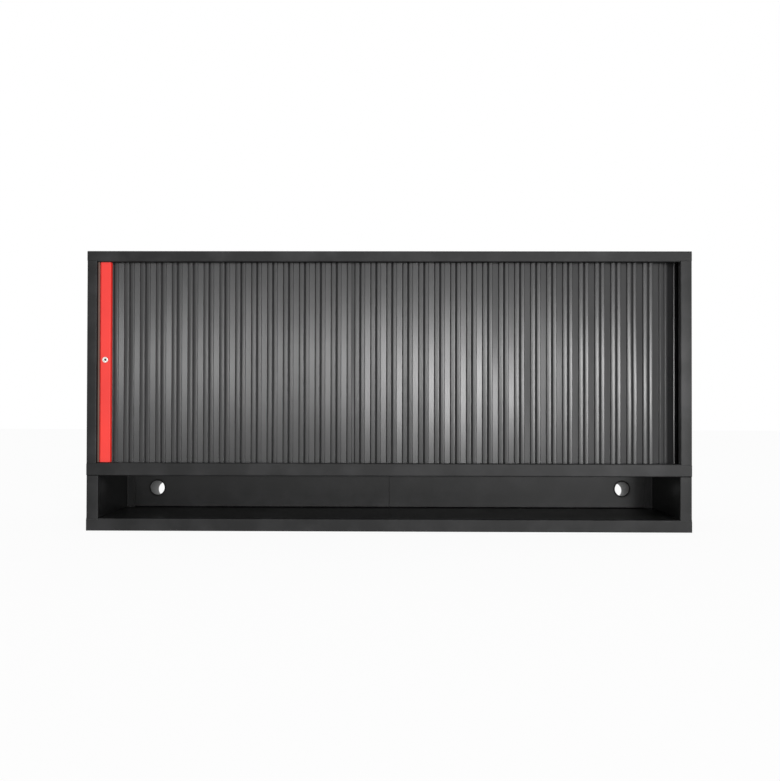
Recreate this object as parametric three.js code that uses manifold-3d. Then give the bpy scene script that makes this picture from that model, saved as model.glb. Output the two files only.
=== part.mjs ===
// A wall cabinet of folded steel sheet for a workshop. A tambour roll front closes its upper body:
// upright slats, hooked into each other, run sideways in two tracks, round the right corner and
// along the back. Under the upper body is an open niche, with cable holes through its back.
// Millimetres. +Z is up, the front faces -Y and +X is to the right, seen from the front.
// The origin is the middle of the underside.
import * as THREE from "three";
import { mergeVertices } from "three/addons/utils/BufferGeometryUtils.js";
import Module from "manifold-3d";

const wasm = await Module();
wasm.setup();

// Outside of the cabinet, and its front from the top down
const width = 1455;
const depth = 320;
const topStripHeight = 26;
const curtainOpeningHeight = 485;
const midRailHeight = 31;
const nicheOpeningHeight = 103;
const bottomStripHeight = 30;
const leftStileWidth = 24;
const rightStileWidth = 27.5;
const nicheStileWidth = 29;

// Folded sheet
const sheet = 1.2;
const bendRadius = 1.5; // inside of a bend
const seat = 0.3; // gap left where a piece rests on or against another
const overrun = 2; // how far a cutting tool reaches past the metal
const stripReturn = 12;
const stileReturn = 17;
const rearFlange = 30;
const trayReturn = 14;
const deckDownturn = 15;
const stileLap = 30; // length of side wall that the stile shares

// Hanging holes in the rear panel
const keyholeRadius = 7;
const keyholeSlotWidth = 8;
const keyholeSlotLength = 14;
const keyholeFromEdge = 90;
const keyholeFromTop = 60;
const keyholeFromBottom = 190;

// Niche
const nicheDepth = 231;
const nichePostWidth = 21.5;
const nicheBackFlange = 15;
const cableHoleRadius = 20;
const cableHoleFromPost = 59;
const rearHoleDrop = 13; // how far the rear panel's holes lie below those of the niche backs

// Path of the curtain: the line through the hinges of its slats, seen from above
const curtainInset = 20.4; // behind the front face
const cornerRadius = 60;
const bendEaseInside = 4; // extra room in the bends, where a straight slat cuts the corner
const bendEaseOutside = 2;
const bendLead = 16; // length over which the track widens into a bend
const backRunEnd = 430; // distance left of the middle at which the track on the back ends

// Tracks
const trackWall = 1.5;
const trackWeb = 2;
const trackHeight = 16;
const slotPlay = 0.8;

// Slats of the curtain. A narrow one joins its two lengths. The others are all alike, and fill the rest
// of the front run, so it gives them their pitch.
const frontSlatCount = 35;
const cornerSlatCount = 2;
const joiningSlat = 16;
const joiningSlatWidth = 18.7;
const slatThickness = 8;
const slatWall = 1.8;
const slatFootPlay = 0.5;
const slatHeadPlay = 2;
const firstRibWidth = 11.8;
const ribGrooveWidth = 2.8;
const secondRibWidth = 10.1;
const ribCrownRadius = 24;
const ribShoulder = 1.2;
const landStartStep = 1.8; // from the crest of a rib down to the land where it starts
const landStep = 3.4; // and where it ends, at the joint
const hingeBehindCrest = 4.4;
const hookReach = 5; // from the hinge to the left edge of the slat
const beadRadius = 2.1;
const hingePlay = 0.4;
const neckThickness = 1.2;
const jointGap = 0.3;
const hookOpening = THREE.MathUtils.degToRad(55); // the hook opens this far to the inside of the bends
const hookLipSetback = 2;

// Red lead rail, with the first slat's hook held in its side
const railWidth = 32.5;
const railDepth = 21;
const railFaceInset = 5;
const railFaceFromLeft = 7.9;
const railFaceWidth = 22;
const leftFlankDepth = 4;
const rightFlankDepth = 5;
const railWall = 2;
const railDivider = 1.4;
const railRound = 1.6;
const railSideGap = 0.3;
const railEndGap = 1;
const railSocketDepth = 12.1;
const railSocketPlay = 0.4;
const railSocketWall = 1.6;

// Gliders at the ends of the lead rail
const gliderPlay = 0.4;
const gliderSetback = 1;
const gliderStemLength = 22;
const gliderRound = 3;

// Cam lock
const lockFromRailLeft = 18.8;
const lockAboveSill = 248;
const lockHeadRadius = 7.4;
const lockHeadHeight = 1.4;
const lockHeadChamfer = 0.5;
const barrelRadius = 6;
const barrelLength = 6;
const barrelHoleGap = 0.3;
const plugRadius = 4.45;
const plugBoreGap = 0.15;
const plugFaceSetback = 0.3;
const tailRadius = 2.5;
const keySlotWidth = 1.5;
const keySlotLength = 5.6;
const keySlotDepth = 3;
const camThickness = 2;
const camGap = 0.3;
const camHubRadius = 6.2;
const camHoleGap = 0.15;
const camOuterRadius = 25.4;
const camInnerRadius = 21.1;
const camArmWidth = 4;
const camArmAngle = THREE.MathUtils.degToRad(288); // unlocked, so the hook hangs down inside the rail
const camNoseAngle = THREE.MathUtils.degToRad(258);
const strikeSlotTop = 3.1; // below the lock's axis
const strikeSlotLength = 16.6;
const strikeSlotGap = 0.5;

// Fittings inside the upper body
const linerInset = 12; // from the curtain's path to the liner
const linerLead = 25;
const floorReturn = 12;
const shelfAboveFloor = 252;
const shelfFrontSetback = 12; // behind the front edge of the inner floor
const shelfLip = 20;
const shelfLipReturn = 10;
const shelfRearLip = 15;
const partitionHem = 12;
const partitionFlange = 15;
const shelfSlotWidth = 4;
const shelfSlotHeight = 12;
const shelfSlotPitch = 36;
const shelfSlotRows = 9;
const shelfSlotFromEdge = 40;
const shelfSlotFromFloor = 90;

// Fineness of round stretches
const bendSteps = 2;
const crownSteps = 3;
const hingeSteps = 3;
const cornerSteps = 10;
const roundSegments = 24;

// Levels and planes that the sizes above give
const height = topStripHeight + curtainOpeningHeight + midRailHeight + nicheOpeningHeight + bottomStripHeight;
const frontY = -depth / 2;
const rearY = depth / 2;
const rightX = width / 2;
const leftX = -rightX;
const innerX = rightX - sheet;
const deckZ = bottomStripHeight + nicheOpeningHeight;
const sillZ = deckZ + midRailHeight;
const lintelZ = sillZ + curtainOpeningHeight;
const outerBend = bendRadius + sheet;
const deckTopZ = deckZ + sheet;
const roofZ = height - sheet;
const rearPanelY = rearY - 2 * sheet - seat;
const rearFittingY = rearPanelY - seat;

// Colours and finishes
const blackCoat = new THREE.MeshStandardMaterial({ color: 0x2b2b2c, roughness: 0.5, metalness: 0.1 });
const darkPlastic = new THREE.MeshStandardMaterial({ color: 0x4a4a4b, roughness: 0.42, metalness: 0 });
const trackPlastic = new THREE.MeshStandardMaterial({ color: 0x1c1c1c, roughness: 0.6, metalness: 0 });
const redCoat = new THREE.MeshStandardMaterial({ color: 0xe3241b, roughness: 0.35, metalness: 0.1 });
const nickel = new THREE.MeshStandardMaterial({ color: 0xc9c6c0, roughness: 0.25, metalness: 1 });
const zincSteel = new THREE.MeshStandardMaterial({ color: 0x9a9c9e, roughness: 0.35, metalness: 1 });

// A geometry as a solid that can be cut or joined.
function solidOf(geometry) {
  const bare = geometry.clone();
  bare.deleteAttribute("normal");
  bare.deleteAttribute("uv");
  const merged = mergeVertices(bare);
  return new wasm.Manifold(
    new wasm.Mesh({
      numProp: 3,
      vertProperties: merged.attributes.position.array,
      triVerts: new Uint32Array(merged.index.array),
    }),
  );
}

function geometryOf(solid) {
  const mesh = solid.getMesh();
  const geometry = new THREE.BufferGeometry();
  geometry.setAttribute("position", new THREE.BufferAttribute(mesh.vertProperties, 3));
  geometry.setIndex(new THREE.BufferAttribute(mesh.triVerts, 1));
  geometry.computeVertexNormals();
  return geometry;
}

function joined(first, ...others) {
  return geometryOf(others.reduce((sum, other) => sum.add(solidOf(other)), solidOf(first)));
}

function cut(body, ...tools) {
  return geometryOf(tools.reduce((rest, tool) => rest.subtract(solidOf(tool)), solidOf(body)));
}

function common(first, second) {
  return geometryOf(solidOf(first).intersect(solidOf(second)));
}

// A block between two corners.
function block(low, high) {
  const size = new THREE.Vector3().subVectors(high, low);
  const middle = new THREE.Vector3().addVectors(low, high).multiplyScalar(0.5);
  return new THREE.BoxGeometry(size.x, size.y, size.z).translate(middle.x, middle.y, middle.z);
}

function at(x, y, z) {
  return new THREE.Vector3(x, y, z);
}

function on(first, second) {
  return new THREE.Vector2(first, second);
}

// An outline in X and Y, extruded up.
function extrudeUp(outline, length, curveSegments = cornerSteps / 2) {
  return new THREE.ExtrudeGeometry(outline, { depth: length, bevelEnabled: false, curveSegments });
}

// An outline in Y and Z, extruded to the right.
function extrudeRight(outline, length) {
  const turn = new THREE.Matrix4().makeBasis(at(0, 1, 0), at(0, 0, 1), at(1, 0, 0));
  return extrudeUp(outline, length).applyMatrix4(turn);
}

// An outline in X and Z, extruded to the back.
function extrudeBack(outline, length, curveSegments) {
  return extrudeUp(outline, length, curveSegments).rotateX(Math.PI / 2).translate(0, length, 0);
}

// A corner of a line, rounded to a radius.
function roundedCorner(before, corner, after, radius, steps) {
  const back = before.clone().sub(corner).normalize();
  const onward = after.clone().sub(corner).normalize();
  const halfAngle = Math.acos(THREE.MathUtils.clamp(back.dot(onward), -1, 1)) / 2;
  const middle = back.clone().add(onward).normalize();
  const centre = corner.clone().addScaledVector(middle, radius / Math.sin(halfAngle));
  const start = corner.clone().addScaledVector(back, radius / Math.tan(halfAngle));
  const sweep = Math.sign(back.cross(onward)) * -(Math.PI - 2 * halfAngle);
  return Array.from({ length: steps + 1 }, (_, i) => start.clone().rotateAround(centre, (sweep * i) / steps));
}

// A line with every corner between its ends rounded, to one radius or to one for each corner.
function roundedLine(points, radii, steps) {
  const inner = points
    .slice(1, -1)
    .flatMap((corner, i) =>
      roundedCorner(points[i], corner, points[i + 2], Array.isArray(radii) ? radii[i] : radii, steps),
    );
  return [points[0], ...inner, points.at(-1)];
}

// A closed outline with every corner rounded.
function roundedLoop(points, radius, steps) {
  const count = points.length;
  return points.flatMap((corner, i) =>
    roundedCorner(points[(i + count - 1) % count], corner, points[(i + 1) % count], radius, steps),
  );
}

// The line that runs beside another at a distance to its left.
function besideLine(points, distance) {
  const ways = points.slice(1).map((point, i) => point.clone().sub(points[i]).normalize());
  return points.map((point, i) => {
    const before = ways[Math.max(i - 1, 0)];
    const after = ways[Math.min(i, ways.length - 1)];
    const mitre = on(-before.y - after.y, before.x + after.x).normalize();
    const shortening = mitre.dot(on(-before.y, before.x));
    return point.clone().addScaledVector(mitre, distance / shortening);
  });
}

// The section of a folded sheet. One face follows the points and the metal lies to the left of their way.
function foldedSection(points) {
  const turnsLeft = points
    .slice(1, -1)
    .map((corner, i) => corner.clone().sub(points[i]).cross(points[i + 2].clone().sub(corner)) > 0);
  const faceRadii = turnsLeft.map((left) => (left ? bendRadius + sheet : bendRadius));
  const backRadii = turnsLeft.map((left) => (left ? bendRadius : bendRadius + sheet));
  const face = roundedLine(points, faceRadii, bendSteps);
  const back = roundedLine(besideLine(points, sheet), backRadii, bendSteps);
  return new THREE.Shape([...face, ...back.reverse()]);
}

function mirrored(points) {
  return points.map((point) => on(-point.x, point.y)).reverse();
}

const cabinet = new THREE.Group();
const upperBody = new THREE.Group();
const niche = new THREE.Group();
const curtain = new THREE.Group();
const leadRail = new THREE.Group();
cabinet.add(upperBody, niche, curtain, leadRail);

function place(group, name, geometry, material, position = at(0, 0, 0)) {
  const mesh = new THREE.Mesh(geometry, material);
  mesh.name = name;
  mesh.position.copy(position);
  group.add(mesh);
  return mesh;
}

// Top panel: rear flange, roof, front strip and the strip's return
const topSection = foldedSection([
  on(rearY, height - rearFlange),
  on(rearY, height),
  on(frontY, height),
  on(frontY, lintelZ),
  on(frontY + stripReturn, lintelZ),
]);

// Notches that end a strip's fold and return where the stiles meet the strip with their faces flush
function stileNotches(leftStile, rightStile, backY, lowZ, highZ) {
  return [
    block(at(leftX - overrun, frontY - overrun, lowZ), at(leftX + leftStile + seat, backY, highZ)),
    block(at(rightX - rightStile - seat, frontY - overrun, lowZ), at(rightX + overrun, backY, highZ)),
  ];
}

const returnNotchY = frontY + stripReturn + overrun;
const lintelNotches = stileNotches(
  leftStileWidth,
  rightStileWidth,
  returnNotchY,
  lintelZ - overrun,
  lintelZ + outerBend,
);
const topPanel = extrudeRight(topSection, width).translate(leftX, 0, 0);
place(upperBody, "top_panel", cut(topPanel, ...lintelNotches), blackCoat);

// Middle deck: return, front rail, floor of the upper body and rear downturn
const deckSection = foldedSection([
  on(frontY + stripReturn, sillZ),
  on(frontY, sillZ),
  on(frontY, deckZ),
  on(rearFittingY - sheet, deckZ),
  on(rearFittingY - sheet, deckZ - deckDownturn),
]);
const downturnNotches = [leftX - overrun, innerX - seat].map((x) =>
  block(
    at(x, rearFittingY - sheet - bendRadius - overrun, deckZ - deckDownturn - overrun),
    at(x + sheet + seat + overrun, rearY, deckZ),
  ),
);
const sillNotches = stileNotches(
  leftStileWidth,
  rightStileWidth,
  returnNotchY,
  sillZ - outerBend,
  sillZ + overrun,
);
const midDeck = extrudeRight(deckSection, width).translate(leftX, 0, 0);
place(upperBody, "mid_deck", cut(midDeck, ...sillNotches, ...downturnNotches), blackCoat);

// Sides of the upper body: a wall with a rear flange, and in the opening a stile with its return.
// Reliefs keep the wall clear of the roof's and the deck's bends. The points run along the left side,
// and the right side is their mirror image.
function sideWall(stileWidth, toOutline) {
  const wallFrontY = frontY + sheet + seat;
  const wall = foldedSection(
    toOutline([on(leftX + rearFlange, rearY), on(leftX, rearY), on(leftX, wallFrontY)]),
  );
  const stile = foldedSection(
    toOutline([
      on(leftX, frontY + stileLap),
      on(leftX, frontY),
      on(leftX + stileWidth, frontY),
      on(leftX + stileWidth, frontY + stileReturn),
    ]),
  );
  const wallZ = deckTopZ + seat;
  const stileZ = sillZ - outerBend + seat;
  const side = joined(
    extrudeUp(wall, roofZ - seat - wallZ).translate(0, 0, wallZ),
    extrudeUp(stile, lintelZ + outerBend - seat - stileZ).translate(0, 0, stileZ),
  );
  const reliefs = [
    block(
      at(leftX - overrun, rearY - outerBend, height - rearFlange - seat),
      at(rightX + overrun, rearY + overrun, height),
    ),
    block(
      at(leftX - overrun, wallFrontY - overrun, height - outerBend),
      at(rightX + overrun, frontY + outerBend, height),
    ),
    block(
      at(leftX - overrun, wallFrontY - overrun, deckZ),
      at(rightX + overrun, frontY + outerBend, deckZ + outerBend),
    ),
  ];
  return cut(side, ...reliefs);
}

const lockZ = sillZ + lockAboveSill;
const camFrontY = railFaceInset + barrelLength + camGap;
const strikeFrontY = frontY + camFrontY - strikeSlotGap;
const strikeBackY = frontY + camFrontY + camThickness + strikeSlotGap;
const strikeSlot = block(
  at(leftX + leftStileWidth - sheet - overrun, strikeFrontY, lockZ - strikeSlotTop - strikeSlotLength),
  at(leftX + leftStileWidth + overrun, strikeBackY, lockZ - strikeSlotTop),
);
place(upperBody, "left_side", cut(sideWall(leftStileWidth, (points) => points), strikeSlot), blackCoat);
place(upperBody, "right_side", sideWall(rightStileWidth, mirrored), blackCoat);

// Rear panel: one flat sheet behind both bodies, with cable holes and keyholes to hang the cabinet by
function holeThrough(x, z, radius) {
  return new THREE.CylinderGeometry(radius, radius, depth, roundSegments).translate(x, 0, z);
}

function keyhole(x, z) {
  const slot = block(
    at(x - keyholeSlotWidth / 2, frontY, z),
    at(x + keyholeSlotWidth / 2, rearY, z + keyholeSlotLength),
  );
  return joined(holeThrough(x, z, keyholeRadius), slot);
}

const cableHoleX = rightX - nicheStileWidth - nichePostWidth - cableHoleFromPost;
const cableHoleZ = bottomStripHeight + nicheOpeningHeight / 2;

function cableHolesAt(z) {
  return [-cableHoleX, cableHoleX].map((x) => holeThrough(x, z, cableHoleRadius));
}

const rearCableHoles = cableHolesAt(cableHoleZ - rearHoleDrop);
const keyholes = [leftX + keyholeFromEdge, rightX - keyholeFromEdge].flatMap((x) => [
  keyhole(x, height - keyholeFromTop),
  keyhole(x, keyholeFromBottom),
]);
const rearSheet = block(
  at(bendRadius - innerX, rearPanelY, seat),
  at(innerX - bendRadius, rearPanelY + sheet, roofZ - bendRadius),
);
place(upperBody, "rear_panel", cut(rearSheet, ...rearCableHoles, ...keyholes), blackCoat);

// Niche tray: bottom strip, floor and rear foot, each with a return along the underside
const traySection = foldedSection([
  on(rearFittingY - trayReturn, 0),
  on(rearFittingY, 0),
  on(rearFittingY, bottomStripHeight),
  on(frontY, bottomStripHeight),
  on(frontY, 0),
  on(frontY + trayReturn, 0),
]);
const skirtFrontY = frontY + sheet + seat;
const skirtRearY = rearFittingY - sheet - seat;
const skirtNotches = [leftX - overrun, innerX - seat].map((x) =>
  block(
    at(x, skirtFrontY - seat, -overrun),
    at(x + sheet + seat + overrun, skirtRearY + seat, bottomStripHeight + overrun),
  ),
);
const trayNotches = stileNotches(
  nicheStileWidth,
  nicheStileWidth,
  frontY + outerBend,
  bottomStripHeight - outerBend,
  bottomStripHeight + overrun,
);
const nicheTray = extrudeRight(traySection, width).translate(leftX, 0, 0);
place(niche, "niche_tray", cut(nicheTray, ...skirtNotches, ...trayNotches), blackCoat);

// Niche sides: rear flange, outer wall, stile, inner wall and the post beside the back.
// The outer wall reaches down past the tray as a skirt, and the stile down to the bottom strip.
const nicheSide = [
  on(leftX + rearFlange, rearY),
  on(leftX, rearY),
  on(leftX, frontY),
  on(leftX + nicheStileWidth, frontY),
  on(leftX + nicheStileWidth, frontY + nicheDepth),
  on(leftX + nicheStileWidth + nichePostWidth, frontY + nicheDepth),
];
const nicheFloorZ = bottomStripHeight + seat;
const nicheClearHeight = nicheOpeningHeight - 2 * seat;
for (const [name, points, skirtX] of [
  ["niche_left_side", nicheSide, leftX],
  ["niche_right_side", mirrored(nicheSide), innerX],
]) {
  const folded = extrudeUp(foldedSection(points), outerBend + nicheClearHeight);
  folded.translate(0, 0, nicheFloorZ - outerBend);
  const overTray = block(
    at(leftX - overrun, frontY + outerBend - seat, 0),
    at(rightX + overrun, rearY + overrun, nicheFloorZ),
  );
  const skirt = block(at(skirtX, skirtFrontY, 0), at(skirtX + sheet, skirtRearY, nicheFloorZ + sheet));
  place(niche, name, joined(cut(folded, overTray), skirt), blackCoat);
}

// Niche backs: two sheets that meet in the middle, folded back along the top and the bottom
const nicheBackSection = foldedSection([
  on(frontY + nicheDepth + nicheBackFlange, deckZ - seat),
  on(frontY + nicheDepth, deckZ - seat),
  on(frontY + nicheDepth, nicheFloorZ),
  on(frontY + nicheDepth + nicheBackFlange, nicheFloorZ),
]);
const nicheBackWidth = rightX - nicheStileWidth - nichePostWidth - 2 * seat;
const nicheBack = extrudeRight(nicheBackSection, nicheBackWidth);
const [leftCableHole, rightCableHole] = cableHolesAt(cableHoleZ);
const backLeft = cut(nicheBack.clone().translate(-seat - nicheBackWidth, 0, 0), leftCableHole);
const backRight = cut(nicheBack.clone().translate(seat, 0, 0), rightCableHole);
place(niche, "niche_back_left", backLeft, blackCoat);
place(niche, "niche_back_right", backRight, blackCoat);

// The curtain's path bends round two centres at the right, and a line beside it keeps them.
const slotOutside = hingeBehindCrest + slotPlay;
const slotInside = slatThickness - hingeBehindCrest + slotPlay;
const pathFrontY = frontY + curtainInset;
const pathSideX = innerX - seat - slotOutside - trackWall - bendEaseOutside;
const pathRearY = rearFittingY - slotOutside - trackWall - bendEaseOutside;
const frontCentre = on(pathSideX - cornerRadius, pathFrontY + cornerRadius);
const rearCentre = on(pathSideX - cornerRadius, pathRearY - cornerRadius);

function arcPoints(centre, radius, fromAngle, toAngle, steps) {
  return Array.from({ length: steps + 1 }, (_, i) => {
    const angle = THREE.MathUtils.lerp(fromAngle, toAngle, i / steps);
    return on(centre.x + radius * Math.cos(angle), centre.y + radius * Math.sin(angle));
  });
}

// The line at a distance to the inside of the path, eased further in by some in the bends.
function besidePath(inward, ease, fromX, toX) {
  const radius = cornerRadius - inward - ease;
  const eased = ease !== 0;
  return [
    on(fromX, pathFrontY + inward),
    ...(eased ? [on(frontCentre.x - bendLead, pathFrontY + inward)] : []),
    ...arcPoints(frontCentre, radius, -Math.PI / 2, 0, cornerSteps),
    ...(eased ? [on(pathSideX - inward, frontCentre.y + bendLead)] : []),
    ...(eased ? [on(pathSideX - inward, rearCentre.y - bendLead)] : []),
    ...arcPoints(rearCentre, radius, 0, Math.PI / 2, cornerSteps),
    ...(eased ? [on(rearCentre.x - bendLead, pathRearY - inward)] : []),
    on(toX, pathRearY - inward),
  ];
}

function band(outerLine, innerLine) {
  return new THREE.Shape([...outerLine, ...innerLine.reverse()]);
}

// Tracks: a web with two legs, between which the ends of the slats run
const trackFromX = seat - innerX;
const trackLines = {
  outerFace: besidePath(-slotOutside - trackWall, -bendEaseOutside, trackFromX, -backRunEnd),
  outerSlot: besidePath(-slotOutside, -bendEaseOutside, trackFromX, -backRunEnd),
  innerSlot: besidePath(slotInside, bendEaseInside, trackFromX, -backRunEnd),
  innerFace: besidePath(slotInside + trackWall, bendEaseInside, trackFromX, -backRunEnd),
};
const outerLeg = extrudeUp(band(trackLines.outerFace, [...trackLines.outerSlot]), trackHeight);
const innerLeg = extrudeUp(band(trackLines.innerSlot, [...trackLines.innerFace]), trackHeight);
const web = extrudeUp(band(trackLines.outerFace, [...trackLines.innerFace]), trackWeb);
const trackFootZ = deckTopZ + seat;
const trackHeadZ = roofZ - seat - trackHeight;
const bottomTrack = joined(web, outerLeg, innerLeg);
const topTrack = joined(web.clone().translate(0, 0, trackHeight - trackWeb), outerLeg, innerLeg);
place(upperBody, "bottom_track", bottomTrack, trackPlastic, at(0, 0, trackFootZ));
place(upperBody, "top_track", topTrack, trackPlastic, at(0, 0, trackHeadZ));

// Liner: a sheet bent along the inside of the path, which keeps goods clear of the parked curtain
const linerFromX = frontCentre.x - linerLead;
const linerToX = seat - innerX;
const liner = band(
  besidePath(linerInset, 0, linerFromX, linerToX),
  besidePath(linerInset + sheet, 0, linerFromX, linerToX),
);
const linerHeight = roofZ - seat - trackFootZ;
place(upperBody, "curtain_liner", extrudeUp(liner, linerHeight), blackCoat, at(0, 0, trackFootZ));

// The plan of the room inside the liner, from a left edge and a front edge to the liner.
const roomInset = linerInset + sheet + seat;
const roomFrontY = pathFrontY + roomInset;
const roomRearY = pathRearY - roomInset;
const roomLeftX = seat - innerX;
const roomRightX = pathSideX - roomInset;

function roomPlan() {
  const line = besidePath(roomInset, 0, roomLeftX, roomLeftX);
  return extrudeUp(new THREE.Shape(line), height);
}

// Inner floor: stands on the deck by its front and rear folds
const floorSection = foldedSection([
  on(roomRearY - floorReturn, trackFootZ),
  on(roomRearY, trackFootZ),
  on(roomRearY, sillZ),
  on(roomFrontY, sillZ),
  on(roomFrontY, trackFootZ),
  on(roomFrontY + floorReturn, trackFootZ),
]);
const floorBlank = extrudeRight(floorSection, roomRightX - roomLeftX).translate(roomLeftX, 0, 0);
place(upperBody, "inner_floor", common(floorBlank, roomPlan()), blackCoat);

// Centre partition: a web with a hem in front and a flange behind, and two columns of slots for shelves
const partitionSection = foldedSection([
  on(partitionFlange - sheet / 2, roomRearY),
  on(-sheet / 2, roomRearY),
  on(-sheet / 2, roomFrontY),
  on(partitionHem - sheet / 2, roomFrontY),
]);
const partitionZ = sillZ + seat;
const partitionHeight = roofZ - seat - partitionZ;
const slotRows = Array.from({ length: shelfSlotRows }, (_, row) => shelfSlotFromFloor + row * shelfSlotPitch);
const shelfSlots = [roomFrontY + shelfSlotFromEdge, roomRearY - shelfSlotFromEdge].flatMap((y) =>
  slotRows.map((z) =>
    block(
      at(-overrun, y - shelfSlotWidth / 2, z),
      at(overrun, y + shelfSlotWidth / 2, z + shelfSlotHeight),
    ),
  ),
);
const partition = cut(extrudeUp(partitionSection, partitionHeight), ...shelfSlots);
place(upperBody, "centre_partition", partition, blackCoat, at(0, 0, partitionZ));

// Shelves: trays folded down all round, which reach from the partition to the side wall and to the liner
const shelfZ = sillZ + shelfAboveFloor;
const shelfFrontY = roomFrontY + shelfFrontSetback;
const shelfRearY = roomRearY - sheet - bendRadius;
const shelfSection = foldedSection([
  on(shelfRearY, shelfZ - shelfRearLip),
  on(shelfRearY, shelfZ),
  on(shelfFrontY, shelfZ),
  on(shelfFrontY, shelfZ - shelfLip),
  on(shelfFrontY + shelfLipReturn, shelfZ - shelfLip),
]);
const shelfStart = sheet / 2 + seat;

function shelfEnd(x, fromY, toY) {
  return block(at(x, fromY, shelfZ - shelfRearLip), at(x + sheet, toY, shelfZ - sheet / 2));
}

const endFrontY = shelfFrontY + sheet / 2;
const endRearY = shelfRearY - sheet / 2;
const leftShelf = joined(
  extrudeRight(shelfSection, -shelfStart - roomLeftX).translate(roomLeftX, 0, 0),
  shelfEnd(roomLeftX, endFrontY, endRearY),
  shelfEnd(-shelfStart - sheet, endFrontY, endRearY),
);
const rightShelf = joined(
  common(extrudeRight(shelfSection, roomRightX - shelfStart).translate(shelfStart, 0, 0), roomPlan()),
  shelfEnd(shelfStart, endFrontY, endRearY),
  shelfEnd(roomRightX - sheet, frontCentre.y, rearCentre.y),
);
place(upperBody, "left_shelf", leftShelf, blackCoat);
place(upperBody, "right_shelf", rightShelf, blackCoat);

// The straight run of hinges, from the first slat's to the bend
const railLeftX = leftX + leftStileWidth + railSideGap;
const firstHingeX = railLeftX + railWidth - railSocketDepth + railSocketPlay + hookReach;
const straightRun = frontCentre.x - firstHingeX;
const slatPitch = (straightRun - joiningSlatWidth) / (frontSlatCount - 1);

// Section of a slat. The hinge is the origin, +X runs to the next slat and -Y is the face.
// Two ribs stand on it, the second one hollow, and a land slopes down from them to the joint.
// Each slat ends in a bead on a thin neck, which turns in the hook of the next slat.
// The joining slat has the first rib alone.
function slatSection(slatWidth, hasSecondRib) {
  const crestY = -hingeBehindCrest;
  const backY = slatThickness - hingeBehindCrest;
  const landStartY = crestY + landStartStep;
  const landEndY = crestY + landStep;
  const landEndBackY = landEndY + slatWall;
  const firstRibEnd = firstRibWidth - hookReach;
  const secondRibStart = firstRibEnd + ribGrooveWidth;
  const secondRibEnd = secondRibStart + secondRibWidth;
  const landEnd = slatWidth - hookReach - jointGap;
  const boreRadius = beadRadius + hingePlay;
  const lipAngle = Math.asin(landEndY / boreRadius);
  const neckAngle = Math.asin(neckThickness / 2 / beadRadius);
  const firstRib = ribFace(-hookReach, crestY, firstRibWidth);
  const secondRib = ribFace(secondRibStart, crestY, secondRibWidth);
  const groove = [on(firstRibEnd, landEndY), on(secondRibStart, landEndY)];
  const face = hasSecondRib
    ? [...firstRib, ...groove, ...secondRib, on(secondRibEnd, landStartY)]
    : [...firstRib, on(firstRibEnd, landStartY)];
  const outline = new THREE.Shape([
    on(-hookReach, landEndY),
    ...face,
    on(landEnd, landEndY),
    on(landEnd, -neckThickness / 2),
  ]);
  outline.absarc(slatWidth, 0, beadRadius, neckAngle - Math.PI, Math.PI - neckAngle);
  outline.lineTo(landEnd, neckThickness / 2);
  outline.lineTo(landEnd, landEndBackY);
  if (hasSecondRib) {
    outline.lineTo(secondRibEnd - slatWall, landStartY + slatWall);
    outline.lineTo(secondRibEnd - slatWall, crestY + slatWall);
    outline.lineTo(secondRibStart + slatWall, crestY + slatWall);
    outline.lineTo(secondRibStart + slatWall, landEndBackY);
  }
  outline.lineTo(firstRibEnd, landEndBackY);
  outline.lineTo(firstRibEnd, backY);
  outline.lineTo(-hookLipSetback, backY);
  outline.absarc(0, 0, boreRadius, Math.PI - hookOpening, Math.PI - lipAngle - 2 * Math.PI, true);
  return outline;
}

// The face of a rib from left to right: a low crown between two sloping shoulders.
function ribFace(fromX, crestY, ribWidth) {
  const crownHalf = Math.asin((ribWidth / 2 - ribShoulder) / ribCrownRadius);
  const centre = on(fromX + ribWidth / 2, crestY + ribCrownRadius);
  const straightUp = -Math.PI / 2;
  const crown = arcPoints(centre, ribCrownRadius, straightUp - crownHalf, straightUp + crownHalf, crownSteps);
  const shoulderY = crown[0].y + ribShoulder;
  return [on(fromX, shoulderY), ...crown, on(fromX + ribWidth, shoulderY)];
}

// The point of the path at a distance along it from the first hinge.
function pathPoint(travel) {
  const angle = (travel - straightRun) / cornerRadius;
  if (angle <= 0) return on(firstHingeX + travel, pathFrontY);
  if (angle <= Math.PI / 2) {
    return on(frontCentre.x + cornerRadius * Math.sin(angle), frontCentre.y - cornerRadius * Math.cos(angle));
  }
  return on(pathSideX, frontCentre.y + travel - straightRun - (cornerRadius * Math.PI) / 2);
}

// The travel at which the next hinge lies a slat's width away in a straight line, found by halving.
function nextHinge(travel, slatWidth) {
  const here = pathPoint(travel);
  let near = travel + slatWidth / 2;
  let far = travel + 2 * slatWidth;
  while (far - near > slatWidth * 1e-9) {
    const middle = (near + far) / 2;
    if (pathPoint(middle).distanceTo(here) < slatWidth) near = middle;
    else far = middle;
  }
  return far;
}

// Slats: on the front run in one plane, and the last ones turned round the corner
const slatFootZ = trackFootZ + trackWeb + slatFootPlay;
const slatLength = trackHeadZ + trackHeight - trackWeb - slatHeadPlay - slatFootZ;
const slatGeometry = extrudeUp(slatSection(slatPitch, true), slatLength, hingeSteps);
const joiningGeometry = extrudeUp(slatSection(joiningSlatWidth, false), slatLength, hingeSteps);
let travel = 0;
for (let number = 1; number <= frontSlatCount + cornerSlatCount; number += 1) {
  const joins = number === joiningSlat;
  const hinge = pathPoint(travel);
  travel = nextHinge(travel, joins ? joiningSlatWidth : slatPitch);
  const way = pathPoint(travel).sub(hinge);
  const name = `slat_${String(number).padStart(2, "0")}`;
  const geometry = joins ? joiningGeometry : slatGeometry;
  const slat = place(curtain, name, geometry, darkPlastic, at(hinge.x, hinge.y, slatFootZ));
  slat.rotation.z = way.angle();
}

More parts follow.
